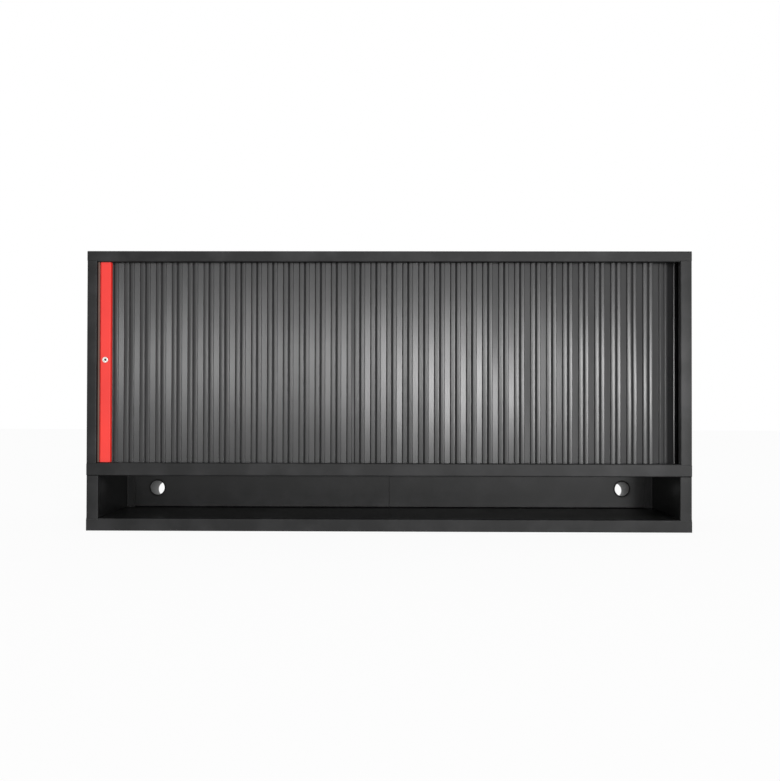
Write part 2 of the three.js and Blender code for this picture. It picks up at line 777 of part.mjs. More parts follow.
// Lead rail, in its own frame: the origin is its left edge on the front face, at the sill
leadRail.position.set(railLeftX, frontY, sillZ);
const railBack = railFaceInset + railDepth;
const railFaceEnd = railFaceFromLeft + railFaceWidth;
const socketFront = curtainInset - hingeBehindCrest - railSocketPlay;
const socketBack = curtainInset - hingeBehindCrest + slatThickness + railSocketPlay;
const socketX = railWidth - railSocketDepth;
const chamberBack = socketFront - railDivider;

function railSection() {
  const front = roundedLine(
    [
      on(0, railBack),
      on(0, railFaceInset + leftFlankDepth),
      on(railFaceFromLeft, railFaceInset),
      on(railFaceEnd, railFaceInset),
      on(railWidth, railFaceInset + rightFlankDepth),
      on(railWidth, socketFront),
    ],
    railRound,
    bendSteps,
  );
  const outline = new THREE.Shape([
    ...front,
    on(socketX, socketFront),
    on(socketX, socketBack),
    on(railWidth, socketBack),
    on(railWidth, railBack),
  ]);
  const frontChamber = [
    on(railWall, railFaceInset + leftFlankDepth + railWall / 2),
    on(railFaceFromLeft, railFaceInset + railWall),
    on(railFaceEnd - railWall / 2, railFaceInset + railWall),
    on(railWidth - railWall, railFaceInset + rightFlankDepth + railWall / 2),
    on(railWidth - railWall, chamberBack),
    on(railWall, chamberBack),
  ];
  const rearChamber = [
    on(railWall, socketFront),
    on(socketX - railSocketWall, socketFront),
    on(socketX - railSocketWall, socketBack),
    on(railWall, socketBack),
  ];
  outline.holes.push(new THREE.Path(frontChamber), new THREE.Path(rearChamber));
  return outline;
}

const railLength = curtainOpeningHeight - 2 * railEndGap;
const barrelHoleRadius = barrelRadius + barrelHoleGap;
const barrelHole = new THREE.CylinderGeometry(
  barrelHoleRadius,
  barrelHoleRadius,
  barrelLength,
  roundSegments,
).translate(lockFromRailLeft, railFaceInset, lockAboveSill);
const camSlot = block(
  at(-overrun, camFrontY - strikeSlotGap, lockAboveSill - strikeSlotTop - strikeSlotLength),
  at(railWall + strikeSlotGap, camFrontY + camThickness + strikeSlotGap, lockAboveSill - strikeSlotTop),
);
const railBar = extrudeUp(railSection(), railLength).translate(0, 0, railEndGap);
place(leadRail, "lead_rail", cut(railBar, barrelHole, camSlot), redCoat);

// Gliders: a stem in the rail's rear chamber and a head that runs in the track
function glider(headLength) {
  const headLow = on(gliderSetback, curtainInset - slotOutside + gliderPlay);
  const headHigh = on(socketX - gliderPlay, curtainInset + slotInside - gliderPlay);
  const corners = [headLow, on(headHigh.x, headLow.y), headHigh, on(headLow.x, headHigh.y)];
  const head = new THREE.Shape(roundedLoop(corners, gliderRound, bendSteps));
  const stem = block(
    at(railWall + gliderPlay, socketFront + gliderPlay, -gliderStemLength),
    at(socketX - railSocketWall - gliderPlay, socketBack - gliderPlay, headLength / 2),
  );
  return joined(extrudeUp(head, headLength), stem);
}

const topHeadStart = curtainOpeningHeight - railEndGap + seat;
const topHeadEnd = trackHeadZ + trackHeight - trackWeb - gliderPlay - sillZ;
const bottomHeadStart = railEndGap - seat;
const bottomHeadEnd = trackFootZ + trackWeb + gliderPlay - sillZ;
place(leadRail, "top_glider", glider(topHeadEnd - topHeadStart), trackPlastic, at(0, 0, topHeadStart));
const bottomGlider = glider(bottomHeadStart - bottomHeadEnd).scale(1, 1, -1);
bottomGlider.index.array.reverse();
place(leadRail, "bottom_glider", bottomGlider, trackPlastic, at(0, 0, bottomHeadStart));

// Cam lock, in its own frame: the origin is on its axis, in the plane of the cabinet's front
const lock = new THREE.Group();
lock.position.set(lockFromRailLeft, 0, lockAboveSill);
leadRail.add(lock);
const headBackY = railFaceInset - seat;
const headFrontY = headBackY - lockHeadHeight;
const barrelBackY = railFaceInset + barrelLength;
const boreRadius = plugRadius + plugBoreGap;
const barrelProfile = [
  on(boreRadius, headFrontY),
  on(lockHeadRadius - lockHeadChamfer, headFrontY),
  on(lockHeadRadius, headFrontY + lockHeadChamfer),
  on(lockHeadRadius, headBackY),
  on(barrelRadius, headBackY),
  on(barrelRadius, barrelBackY),
  on(boreRadius, barrelBackY),
  on(boreRadius, headFrontY),
];
place(lock, "lock_barrel", new THREE.LatheGeometry(barrelProfile, roundSegments), nickel);

const plugFrontY = headFrontY + plugFaceSetback;
const plugProfile = [
  on(0, plugFrontY),
  on(plugRadius, plugFrontY),
  on(plugRadius, barrelBackY),
  on(tailRadius, barrelBackY),
  on(tailRadius, camFrontY + camThickness + camGap),
  on(0, camFrontY + camThickness + camGap),
];
const keySlot = block(
  at(-keySlotWidth / 2, plugFrontY - overrun, -keySlotLength / 2),
  at(keySlotWidth / 2, plugFrontY + keySlotDepth, keySlotLength / 2),
);
place(lock, "lock_plug", cut(new THREE.LatheGeometry(plugProfile, roundSegments), keySlot), nickel);

// Hook cam: a hub, an arm and a nose that swings through the slots and behind the stile's return
function hookCam() {
  const disc = new THREE.Shape().absarc(0, 0, camHubRadius, 0, 2 * Math.PI);
  const hub = extrudeBack(disc, camThickness, cornerSteps);
  const arm = new THREE.BoxGeometry(camOuterRadius - camArmWidth / 2, camThickness, camArmWidth)
    .translate((camOuterRadius - camArmWidth / 2) / 2, camThickness / 2, 0)
    .rotateY(-camArmAngle);
  const armSpread = Math.asin(camArmWidth / 2 / camInnerRadius);
  const nose = new THREE.Shape();
  nose.absarc(0, 0, camOuterRadius, camNoseAngle, camArmAngle + armSpread);
  nose.absarc(0, 0, camInnerRadius, camArmAngle + armSpread, camNoseAngle, true);
  const tailHole = new THREE.CylinderGeometry(
    tailRadius + camHoleGap,
    tailRadius + camHoleGap,
    2 * depth,
    roundSegments,
  );
  return cut(joined(hub, arm, extrudeBack(nose, camThickness)), tailHole);
}

place(lock, "lock_cam", hookCam(), zincSteel, at(0, camFrontY, 0));

export default cabinet;
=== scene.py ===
import math

import bmesh
import bpy
from mathutils import Matrix, Vector, noise


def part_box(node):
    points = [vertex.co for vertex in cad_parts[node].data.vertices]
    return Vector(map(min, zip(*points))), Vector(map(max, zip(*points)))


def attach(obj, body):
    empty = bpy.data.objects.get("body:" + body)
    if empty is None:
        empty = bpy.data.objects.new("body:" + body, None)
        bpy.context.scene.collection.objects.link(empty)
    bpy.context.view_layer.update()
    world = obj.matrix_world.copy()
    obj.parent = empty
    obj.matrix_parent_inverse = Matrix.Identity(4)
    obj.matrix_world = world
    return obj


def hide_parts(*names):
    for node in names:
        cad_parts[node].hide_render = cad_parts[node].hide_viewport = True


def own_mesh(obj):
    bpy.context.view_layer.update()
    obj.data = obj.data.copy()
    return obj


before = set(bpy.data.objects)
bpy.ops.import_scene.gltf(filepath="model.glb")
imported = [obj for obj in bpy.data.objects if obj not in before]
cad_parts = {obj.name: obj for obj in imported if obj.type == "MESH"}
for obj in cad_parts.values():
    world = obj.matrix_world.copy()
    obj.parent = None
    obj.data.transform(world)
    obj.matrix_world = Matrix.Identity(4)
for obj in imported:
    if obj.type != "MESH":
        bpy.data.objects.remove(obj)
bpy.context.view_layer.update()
print("frame loaded:", len(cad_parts), "nodes")

# All sizes are in metres, and the cabinet's front faces -Y
mm = 0.001

# Points this close together count as one
hair = 0.001 * mm


# Camera: about level with the cabinet's middle and some two metres in front of it
camera = {
    "lens": 40.92,
    "sensor": 36.0,
    "nearest": 0.01,
    "place": (0.0247, -2.2904, 0.3181),
    "pitch": 0.568,     # degrees up
    "yaw": 0.557,       # degrees to the left
    "roll": -0.125,
}


def addCamera():
    data = bpy.data.cameras.new("camera")
    data.lens = camera["lens"]
    data.sensor_width = camera["sensor"]
    data.sensor_fit = "HORIZONTAL"
    data.clip_start = camera["nearest"]
    obj = bpy.data.objects.new("camera", data)
    obj.location = camera["place"]
    obj.rotation_euler = (
        math.radians(90 + camera["pitch"]),
        math.radians(camera["roll"]),
        math.radians(camera["yaw"]),
    )
    bpy.context.scene.collection.objects.link(obj)
    bpy.context.scene.camera = obj


addCamera()
print("camera placed")


# Shader node groups
def newGroup(name, inputs, outputs):
    group = bpy.data.node_groups.new(name, "ShaderNodeTree")
    for label, kind, value in inputs:
        socket = group.interface.new_socket(label, in_out="INPUT", socket_type=kind)
        socket.default_value = value
    for label, kind in outputs:
        group.interface.new_socket(label, in_out="OUTPUT", socket_type=kind)
    entry = group.nodes.new("NodeGroupInput")
    leave = group.nodes.new("NodeGroupOutput")
    return group, entry, leave


def addNode(tree, kind, inputs=(), **settings):
    node = tree.nodes.new(kind)
    for key, value in settings.items():
        setattr(node, key, value)
    for key, value in inputs:
        if isinstance(value, bpy.types.NodeSocket):
            tree.links.new(value, node.inputs[key])
        else:
            node.inputs[key].default_value = value
    return node


peelPattern = {
    "grain": 900.0,
    "ripple": 60.0,
    "rippleShare": 0.35,
    "grainDetail": 2.0,
    "grainRoughness": 0.55,
    "rippleDetail": 1.0,
    "speckleFrom": 0.35,
    "speckleTo": 0.7,
}


def makePeelGroup():
    # Powder coat: fine orange peel over a slower ripple
    group, entry, leave = newGroup(
        "powderPeel",
        [("Vector", "NodeSocketVector", (0, 0, 0)), ("Grain", "NodeSocketFloat", peelPattern["grain"]),
         ("Ripple", "NodeSocketFloat", peelPattern["ripple"]),
         ("Ripple Share", "NodeSocketFloat", peelPattern["rippleShare"])],
        [("Height", "NodeSocketFloat"), ("Speckle", "NodeSocketFloat")],
    )
    fine = addNode(group, "ShaderNodeTexNoise", [
        ("Vector", entry.outputs["Vector"]), ("Scale", entry.outputs["Grain"]),
        ("Detail", peelPattern["grainDetail"]), ("Roughness", peelPattern["grainRoughness"]),
    ])
    slow = addNode(group, "ShaderNodeTexNoise", [
        ("Vector", entry.outputs["Vector"]), ("Scale", entry.outputs["Ripple"]),
        ("Detail", peelPattern["rippleDetail"]),
    ])
    blend = addNode(group, "ShaderNodeMix", [
        ("Factor", entry.outputs["Ripple Share"]), ("A", fine.outputs["Fac"]), ("B", slow.outputs["Fac"]),
    ])
    speckle = addNode(group, "ShaderNodeMapRange", [
        ("Value", fine.outputs["Fac"]), ("From Min", peelPattern["speckleFrom"]),
        ("From Max", peelPattern["speckleTo"]),
    ])
    group.links.new(blend.outputs["Result"], leave.inputs["Height"])
    group.links.new(speckle.outputs["Result"], leave.inputs["Speckle"])
    return group


wearAndSheenPattern = {
    "reach": 0.53,      # pointiness from which an edge starts to lighten, as wear and as painted highlight
    "fullReach": 0.62,
    "patches": 14.0,
    "patchDetail": 4.0,
    "patchFrom": 0.42,
    "patchTo": 0.68,
}


def makeWearAndSheenGroup():
    # Lighter along the edges, in patches: partly wear where handling rubs them, partly a painted highlight
    # along the folds
    group, entry, leave = newGroup(
        "edgeWearAndSheen",
        [("Vector", "NodeSocketVector", (0, 0, 0)), ("Reach", "NodeSocketFloat", wearAndSheenPattern["reach"]),
         ("Patches", "NodeSocketFloat", wearAndSheenPattern["patches"])],
        [("Mask", "NodeSocketFloat")],
    )
    geometry = addNode(group, "ShaderNodeNewGeometry")
    edge = addNode(group, "ShaderNodeMapRange", [
        ("Value", geometry.outputs["Pointiness"]), ("From Min", entry.outputs["Reach"]),
        ("From Max", wearAndSheenPattern["fullReach"]),
    ])
    patches = addNode(group, "ShaderNodeTexNoise", [
        ("Vector", entry.outputs["Vector"]), ("Scale", entry.outputs["Patches"]),
        ("Detail", wearAndSheenPattern["patchDetail"]),
    ])
    broken = addNode(group, "ShaderNodeMapRange", [
        ("Value", patches.outputs["Fac"]), ("From Min", wearAndSheenPattern["patchFrom"]),
        ("From Max", wearAndSheenPattern["patchTo"]),
    ])
    product = addNode(group, "ShaderNodeMath", [(0, edge.outputs["Result"]), (1, broken.outputs["Result"])],
                      operation="MULTIPLY")
    group.links.new(product.outputs["Value"], leave.inputs["Mask"])
    return group


hazePattern = {"size": 3.0, "detail": 5.0, "roughness": 0.6, "from": 0.3, "to": 0.7}


def makeHandlingGroup():
    # Broad soft change from clean to slightly hazy, for roughness and tone
    group, entry, leave = newGroup(
        "handlingHaze",
        [("Vector", "NodeSocketVector", (0, 0, 0)), ("Size", "NodeSocketFloat", hazePattern["size"]),
         ("Low", "NodeSocketFloat", 0.0), ("High", "NodeSocketFloat", 1.0)],
        [("Value", "NodeSocketFloat")],
    )
    cloud = addNode(group, "ShaderNodeTexNoise", [
        ("Vector", entry.outputs["Vector"]), ("Scale", entry.outputs["Size"]),
        ("Detail", hazePattern["detail"]), ("Roughness", hazePattern["roughness"]),
    ])
    spread = addNode(group, "ShaderNodeMapRange", [
        ("Value", cloud.outputs["Fac"]), ("From Min", hazePattern["from"]), ("From Max", hazePattern["to"]),
        ("To Min", entry.outputs["Low"]), ("To Max", entry.outputs["High"]),
    ])
    group.links.new(spread.outputs["Result"], leave.inputs["Value"])
    return group


linePattern = {"across": 2200.0, "along": 6.0, "detail": 3.0}


def makeDrawGroup():
    # Faint lines that an extrusion carries along its length
    group, entry, leave = newGroup(
        "drawLines",
        [("Vector", "NodeSocketVector", (0, 0, 0)), ("Across", "NodeSocketFloat", linePattern["across"]),
         ("Along", "NodeSocketFloat", linePattern["along"])],
        [("Height", "NodeSocketFloat")],
    )
    stretch = addNode(group, "ShaderNodeCombineXYZ", [
        ("X", entry.outputs["Across"]), ("Y", entry.outputs["Across"]), ("Z", entry.outputs["Along"]),
    ])
    scaled = addNode(group, "ShaderNodeVectorMath", [
        (0, entry.outputs["Vector"]), (1, stretch.outputs["Vector"]),
    ], operation="MULTIPLY")
    lines = addNode(group, "ShaderNodeTexNoise", [
        ("Vector", scaled.outputs["Vector"]), ("Scale", 1.0), ("Detail", linePattern["detail"]),
    ])
    group.links.new(lines.outputs["Fac"], leave.inputs["Height"])
    return group


powderPeel = makePeelGroup()
edgeWearAndSheen = makeWearAndSheenGroup()
handlingHaze = makeHandlingGroup()
drawLines = makeDrawGroup()


# Materials
def startMaterial(name):
    material = bpy.data.materials.new(name)
    material.use_nodes = True
    tree = material.node_tree
    shader = tree.nodes["Principled BSDF"]
    coordinates = addNode(tree, "ShaderNodeTexCoord")
    return material, tree, shader, coordinates.outputs["Object"]


def placeGroup(tree, group, vector, values=()):
    node = tree.nodes.new("ShaderNodeGroup")
    node.node_tree = group
    tree.links.new(vector, node.inputs["Vector"])
    for key, value in values:
        node.inputs[key].default_value = value
    return node


def placeHaze(tree, place, rough, size=hazePattern["size"]):
    low, high = rough
    return placeGroup(tree, handlingHaze, place, [("Size", size), ("Low", low), ("High", high)])


def bumpFrom(tree, height, strength, distance):
    bump = addNode(tree, "ShaderNodeBump", [
        ("Height", height), ("Strength", strength), ("Distance", distance),
    ])
    return bump.outputs["Normal"]


# Numbers of the mix node's colour sockets, because other sockets of it have the same names
mixSockets = {"first": 6, "second": 7, "result": 2}


def mixColour(tree, mask, first, second):
    node = addNode(tree, "ShaderNodeMix", [
        ("Factor", mask), (mixSockets["first"], first), (mixSockets["second"], second),
    ], data_type="RGBA")
    return node.outputs[mixSockets["result"]]


def finishMaterial(tree, shader, colour, haze, normal, specular):
    tree.links.new(colour, shader.inputs["Base Color"])
    tree.links.new(haze.outputs["Value"], shader.inputs["Roughness"])
    tree.links.new(normal, shader.inputs["Normal"])
    shader.inputs["Specular IOR Level"].default_value = specular


blackCoat = {
    "colour": (0.0055, 0.0056, 0.0058, 1),
    "speckle": (0.0075, 0.0076, 0.0078, 1),
    # Lighter edge colour: wear plus a painted highlight along the folds
    "wornAndSheen": (0.032, 0.032, 0.033, 1),
    "rough": (0.31, 0.36),
    "specular": 0.26,
    "peel": 0.12,
    "peelDepth": 0.12 * mm,
}


def makeBlackCoat():
    material, tree, shader, place = startMaterial("blackCoat")
    peel = placeGroup(tree, powderPeel, place)
    wearAndSheen = placeGroup(tree, edgeWearAndSheen, place)
    coat = mixColour(tree, peel.outputs["Speckle"], blackCoat["colour"], blackCoat["speckle"])
    # Edges lightened in patches: wear plus a painted highlight along the folds
    wornAndSheen = mixColour(tree, wearAndSheen.outputs["Mask"], coat, blackCoat["wornAndSheen"])
    normal = bumpFrom(tree, peel.outputs["Height"], blackCoat["peel"], blackCoat["peelDepth"])
    haze = placeHaze(tree, place, blackCoat["rough"])
    finishMaterial(tree, shader, wornAndSheen, haze, normal, blackCoat["specular"])
    return material


slatPlastic = {
    "colour": (0.016, 0.016, 0.0165, 1),
    "pale": (0.020, 0.020, 0.0205, 1),
    "toneSize": 9.0,
    "rough": (0.20, 0.23),
    "roughSize": 5.0,
    "specular": 0.5,
    "lines": 0.05,
    "linesDepth": 0.02 * mm,
}


def makeSlatPlastic():
    material, tree, shader, place = startMaterial("slatPlastic")
    tone = placeGroup(tree, handlingHaze, place, [("Size", slatPlastic["toneSize"])])
    haze = placeHaze(tree, place, slatPlastic["rough"], slatPlastic["roughSize"])
    lines = placeGroup(tree, drawLines, place)
    colour = mixColour(tree, tone.outputs["Value"], slatPlastic["colour"], slatPlastic["pale"])
    normal = bumpFrom(tree, lines.outputs["Height"], slatPlastic["lines"], slatPlastic["linesDepth"])
    finishMaterial(tree, shader, colour, haze, normal, slatPlastic["specular"])
    return material


redCoat = {
    "colour": (0.80, 0.030, 0.020, 1),
    "deep": (0.70, 0.022, 0.015, 1),
    "toneSize": 6.0,
    "rough": (0.28, 0.36),
    "specular": 0.5,
    "grain": 1400.0,
    "ripple": 90.0,
    "peel": 0.06,
    "peelDepth": 0.08 * mm,
}


def makeRedCoat():
    material, tree, shader, place = startMaterial("redCoat")
    peel = placeGroup(tree, powderPeel, place, [("Grain", redCoat["grain"]), ("Ripple", redCoat["ripple"])])
    tone = placeGroup(tree, handlingHaze, place, [("Size", redCoat["toneSize"])])
    colour = mixColour(tree, tone.outputs["Value"], redCoat["colour"], redCoat["deep"])
    normal = bumpFrom(tree, peel.outputs["Height"], redCoat["peel"], redCoat["peelDepth"])
    haze = placeHaze(tree, place, redCoat["rough"])
    finishMaterial(tree, shader, colour, haze, normal, redCoat["specular"])
    return material


metal = {
    "roughSize": 40.0,
    "toneSize": 90.0,
    "across": 3000.0,
    "along": 300.0,
    "lines": 0.08,
    "linesDepth": 0.02 * mm,
    "specular": 0.5,
}


def makeMetal(name, colour, dull, rough):
    material, tree, shader, place = startMaterial(name)
    haze = placeHaze(tree, place, rough, metal["roughSize"])
    tone = placeGroup(tree, handlingHaze, place, [("Size", metal["toneSize"])])
    lines = placeGroup(tree, drawLines, place, [("Across", metal["across"]), ("Along", metal["along"])])
    shader.inputs["Metallic"].default_value = 1
    normal = bumpFrom(tree, lines.outputs["Height"], metal["lines"], metal["linesDepth"])
    mixed = mixColour(tree, tone.outputs["Value"], colour, dull)
    finishMaterial(tree, shader, mixed, haze, normal, metal["specular"])
    return material


moulded = {"toneSize": 12.0, "grain": 1600.0, "rippleShare": 0.1, "peel": 0.15, "peelDepth": 0.05 * mm}


def makeMoulded(name, colour, pale, rough, specular):
    material, tree, shader, place = startMaterial(name)
    peel = placeGroup(tree, powderPeel, place,
                      [("Grain", moulded["grain"]), ("Ripple Share", moulded["rippleShare"])])
    tone = placeGroup(tree, handlingHaze, place, [("Size", moulded["toneSize"])])
    normal = bumpFrom(tree, peel.outputs["Height"], moulded["peel"], moulded["peelDepth"])
    mixed = mixColour(tree, tone.outputs["Value"], colour, pale)
    haze = placeHaze(tree, place, rough)
    finishMaterial(tree, shader, mixed, haze, normal, specular)
    return material


materials = {
    "blackCoat": makeBlackCoat(),
    "slatPlastic": makeSlatPlastic(),
    "redCoat": makeRedCoat(),
    "trackPlastic": makeMoulded("trackPlastic", colour=(0.010, 0.010, 0.010, 1),
                                pale=(0.016, 0.016, 0.016, 1), rough=(0.5, 0.62), specular=0.4),
    "rubber": makeMoulded("rubber", colour=(0.006, 0.006, 0.006, 1), pale=(0.010, 0.010, 0.010, 1),
                          rough=(0.62, 0.75), specular=0.25),
    # Brownish grey of the strip beside the rail: a painted highlight
    "highlightStripPaint": makeMoulded("highlightStripPaint", colour=(0.120, 0.072, 0.058, 1), pale=(0.150, 0.090, 0.072, 1),
                        rough=(0.55, 0.65), specular=0.3),
    # Pale grey of the cable sleeves: painted light for the light that comes in through the holes
    "sleeve": makeMoulded("sleeve", colour=(0.20, 0.20, 0.20, 1), pale=(0.26, 0.26, 0.26, 1),
                          rough=(0.5, 0.6), specular=0.4),
    "nickel": makeMetal("nickel", colour=(0.84, 0.81, 0.77, 1), dull=(0.74, 0.71, 0.67, 1),
                        rough=(0.16, 0.26)),
    "zinc": makeMetal("zinc", colour=(0.52, 0.53, 0.55, 1), dull=(0.38, 0.39, 0.41, 1),
                      rough=(0.30, 0.45)),
}
print("materials made:", len(materials))


# Turning a bmesh into a piece, smooth where its faces meet at less than some degrees
def finishPiece(name, bm, material, body, nodes, smoothUnder):
    mesh = bpy.data.meshes.new(name)
    bm.to_mesh(mesh)
    bm.free()
    mesh.polygons.foreach_set("use_smooth", [True] * len(mesh.polygons))
    mesh.set_sharp_from_angle(angle=math.radians(smoothUnder))
    obj = bpy.data.objects.new(name, mesh)
    bpy.context.scene.collection.objects.link(obj)
    mesh.materials.append(materials[material])
    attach(obj, body)
    if nodes:
        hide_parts(*nodes)
    return obj


def evenNormals(obj):
    # Large faces keep their own normal where small bends meet them
    modifier = obj.modifiers.new("evenNormals", "WEIGHTED_NORMAL")
    modifier.keep_sharp = True
    modifier.weight = 100


# Folded sheets: the frame's solids with their raw edges eased
sheetMetal = {
    "edge": 0.22 * mm,
    "edgeSegments": 2,
    "sharpOver": 55.0,    # degrees between faces that makes a raw edge
    "smoothUnder": 50.0,
    "doublesUnder": 0.002 * mm,
    "flatUnder": 0.5,     # degrees between the triangles of one face
    "pieces": {
        "topPanel": "top_panel", "midDeck": "mid_deck", "leftSide": "left_side", "rightSide": "right_side",
        "rearPanel": "rear_panel", "curtainLiner": "curtain_liner", "innerFloor": "inner_floor",
        "centrePartition": "centre_partition", "leftShelf": "left_shelf", "rightShelf": "right_shelf",
        "nicheTray": "niche_tray", "nicheLeftSide": "niche_left_side", "nicheRightSide": "niche_right_side",
        "nicheBackLeft": "niche_back_left", "nicheBackRight": "niche_back_right",
    },
}


def mergedCopy(node):
    bm = bmesh.new()
    bm.from_mesh(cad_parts[node].data)
    bmesh.ops.remove_doubles(bm, verts=bm.verts, dist=sheetMetal["doublesUnder"])
    bmesh.ops.dissolve_limit(bm, angle_limit=math.radians(sheetMetal["flatUnder"]),
                             verts=bm.verts, edges=bm.edges)
    return bm


def easeEdges(bm, width, segments, sharpOver):
    raw = [e for e in bm.edges if len(e.link_faces) == 2 and e.calc_face_angle() > math.radians(sharpOver)]
    bmesh.ops.bevel(bm, geom=raw, offset=width, offset_type="OFFSET", segments=segments, profile=0.5,
                    affect="EDGES", clamp_overlap=True, material=-1)


def addSheets():
    for name, node in sheetMetal["pieces"].items():
        bm = mergedCopy(node)
        easeEdges(bm, sheetMetal["edge"], sheetMetal["edgeSegments"], sheetMetal["sharpOver"])
        evenNormals(finishPiece(name, bm, "blackCoat", "cabinet", [node],
                                sheetMetal["smoothUnder"]))


addSheets()
print("folded sheets done:", len(sheetMetal["pieces"]))


# Slats: each has two ribs and a sloping land, and its hook holds the bead of its left neighbour
slat = {
    "count": 37,
    "front": 35,              # these close up when the curtain opens
    "joining": 16,            # the narrow one between the curtain's two lengths has a single rib
    "hook": 5.0 * mm,         # from the hinge to the left edge
    "crest": -4.4 * mm,       # depths are measured from the hinge
    "landStart": -2.6 * mm,
    "landEnd": -1.0 * mm,
    "landBack": 0.8 * mm,
    "back": 3.6 * mm,
    "wall": 1.8 * mm,
    "firstRib": 11.8 * mm,
    "groove": 2.8 * mm,
    "grooveFloor": -1.7 * mm,
    "secondRib": 10.1 * mm,
    "crownRadius": 40.0 * mm,
    "lip": 1.2 * mm,          # left of the first rib
    "crownShare": 0.9,        # of the way to the shoulder that the crown's bend takes
    "crownSegments": 8,
    "shoulder": 1.2 * mm,
    "shoulderRound": 0.5 * mm,
    "jointGap": 0.3 * mm,
    "bead": 2.1 * mm,
    "beadNeckShare": 0.6,     # of the bead's radius, to round it where its neck starts
    "bore": 2.5 * mm,
    "boreMouthShare": 0.55,   # of the bore's radius, to round it at its mouth
    "hookTipShare": 0.6,      # of the bore's radius, from the hinge to the hook's tip
    "hookBackShare": 0.8,
    "roundShare": 0.95,       # of a radius, to round a square corner almost to a circle
    "roundSegments": 3,
    "neck": 0.6 * mm,         # half its thickness
    "levels": 12,             # rows of vertices up its length
    "sway": 1.5 * mm,         # how far the hinges stand in and out
    "swayAtEnds": 0.3,        # share that is left where the tracks hold the slat
    "swayStep": 0.83,         # higher makes neighbours differ more
    "swayRise": 3.2,          # waves per metre of height
    "swayStart": 0.4,
    "folded": 0.01177,        # share of its width that is left when closed up
    "smoothUnder": 50.0,
}

# The last two slats lie as chords in the bend of the track
bend = {"radius": 60.0 * mm}


def ribCorners(left, width):
    # Two sloping shoulders and a low crown, whose bend eases the tip between them
    half = width / 2 - slat["shoulder"]
    tilt = math.asin(half / slat["crownRadius"])
    drop = slat["crownRadius"] * (1 - math.cos(tilt))
    tip = slat["crownRadius"] * (1 / math.cos(tilt) - 1)
    top = slat["crest"] + drop
    foot = slat["crest"] + drop + slat["shoulder"]
    soft = slat["shoulderRound"]
    return [
        (left, foot, soft), (left + slat["shoulder"], top, soft),
        (left + width / 2, slat["crest"] - tip, slat["crownShare"] * half),
        (left + width - slat["shoulder"], top, soft), (left + width, foot, soft),
    ]


def slatCorners(width, hasSecondRib):
    # Points across the slat and into the depth, with the rounding of each
    ribStart = slat["lip"] - slat["hook"]
    ribEnd = ribStart + slat["firstRib"]
    second = ribEnd + slat["groove"]
    secondEnd = second + slat["secondRib"]
    landEnd = width - slat["hook"] - slat["jointGap"]
    bead, bore, neck, wall = slat["bead"], slat["bore"], slat["neck"], slat["wall"]
    heel, beadRound = bead * slat["beadNeckShare"], bead * slat["roundShare"]
    mouth, boreRound = bore * slat["boreMouthShare"], bore * slat["roundShare"]
    face = [(-slat["hook"], slat["landEnd"], 0)] + ribCorners(ribStart, slat["firstRib"])
    hollow = []
    if hasSecondRib:
        face += [((ribEnd + second) / 2, slat["grooveFloor"], 0)]
        face += ribCorners(second, slat["secondRib"]) + [(secondEnd, slat["landStart"], 0)]
        hollow = [
            (secondEnd - wall, slat["landStart"] + wall, 0), (secondEnd - wall, slat["crest"] + wall, 0),
            (second + wall, slat["crest"] + wall, 0), (second + wall, slat["landBack"], 0),
        ]
    else:
        face += [(ribEnd, slat["landStart"], 0)]
    link = [
        (landEnd, slat["landEnd"], 0), (landEnd, -neck, 0), (width - bead, -neck, 0),
        (width - bead, -bead, heel), (width + bead, -bead, beadRound), (width + bead, bead, beadRound),
        (width - bead, bead, heel), (width - bead, neck, 0), (landEnd, neck, 0),
        (landEnd, slat["landBack"], 0),
    ]
    hook = [
        (ribEnd, slat["landBack"], 0), (ribEnd, slat["back"], 0),
        (-bore * slat["hookBackShare"], slat["back"], 0),
        (-bore * slat["hookTipShare"], bore * slat["hookBackShare"], 0), (bore, bore, boreRound),
        (bore, -bore, boreRound), (-bore, -bore, mouth), (-bore, slat["landEnd"], 0),
    ]
    return face + link + hollow + hook


def slatBlank(width, hasSecondRib, low, high):
    bm = bmesh.new()
    corners = slatCorners(width, hasSecondRib)
    verts = [bm.verts.new((across, depth, low)) for across, depth, rounding in corners]
    bm.faces.new(verts)
    for rounding in sorted({corner[2] for corner in corners} - {0}):
        chosen = [v for v, corner in zip(verts, corners) if corner[2] == rounding]
        isCrown = rounding > slat["bore"]
        bmesh.ops.bevel(bm, geom=chosen, offset=rounding, offset_type="OFFSET",
                        segments=slat["crownSegments"] if isCrown else slat["roundSegments"],
                        profile=0.5, affect="VERTICES", clamp_overlap=True, material=-1)
    lifted = bmesh.ops.extrude_face_region(bm, geom=bm.faces[:])
    top = [g for g in lifted["geom"] if isinstance(g, bmesh.types.BMVert)]
    bmesh.ops.translate(bm, verts=top, vec=(0, 0, high - low))
    for level in range(1, slat["levels"]):
        height = low + (high - low) * level / slat["levels"]
        bmesh.ops.bisect_plane(bm, geom=bm.verts[:] + bm.edges[:] + bm.faces[:], dist=hair,
                               plane_co=(0, 0, height), plane_no=(0, 0, 1))
    bmesh.ops.recalc_face_normals(bm, faces=bm.faces[:])
    return bm


def hingeSway(number, height, rise):
    # Depth by which a hinge stands in or out at a height, little where the tracks hold it
    if number >= slat["front"]:
        return 0.0
    held = slat["swayAtEnds"] + (1 - slat["swayAtEnds"]) * math.sin(math.pi * rise)
    spot = Vector((number * slat["swayStep"], slat["swayStart"], height * slat["swayRise"]))
    return slat["sway"] * held * noise.noise(spot)


def findHinges(names, low):
    # Where the slats' hinges stand, seen from above, and how far apart
    lefts = [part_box(name)[0].x for name in names[:slat["front"]]]
    hinges = [Vector((left + slat["hook"], low.y - slat["crest"])) for left in lefts]
    pitch = hinges[1].x - hinges[0].x
    hinges.append(hinges[-1] + Vector((pitch, 0)))
    half = math.asin(pitch / 2 / bend["radius"])
    for way in (half, 3 * half):
        hinges.append(hinges[-1] + pitch * Vector((math.cos(way), math.sin(way))))
    return hinges, pitch


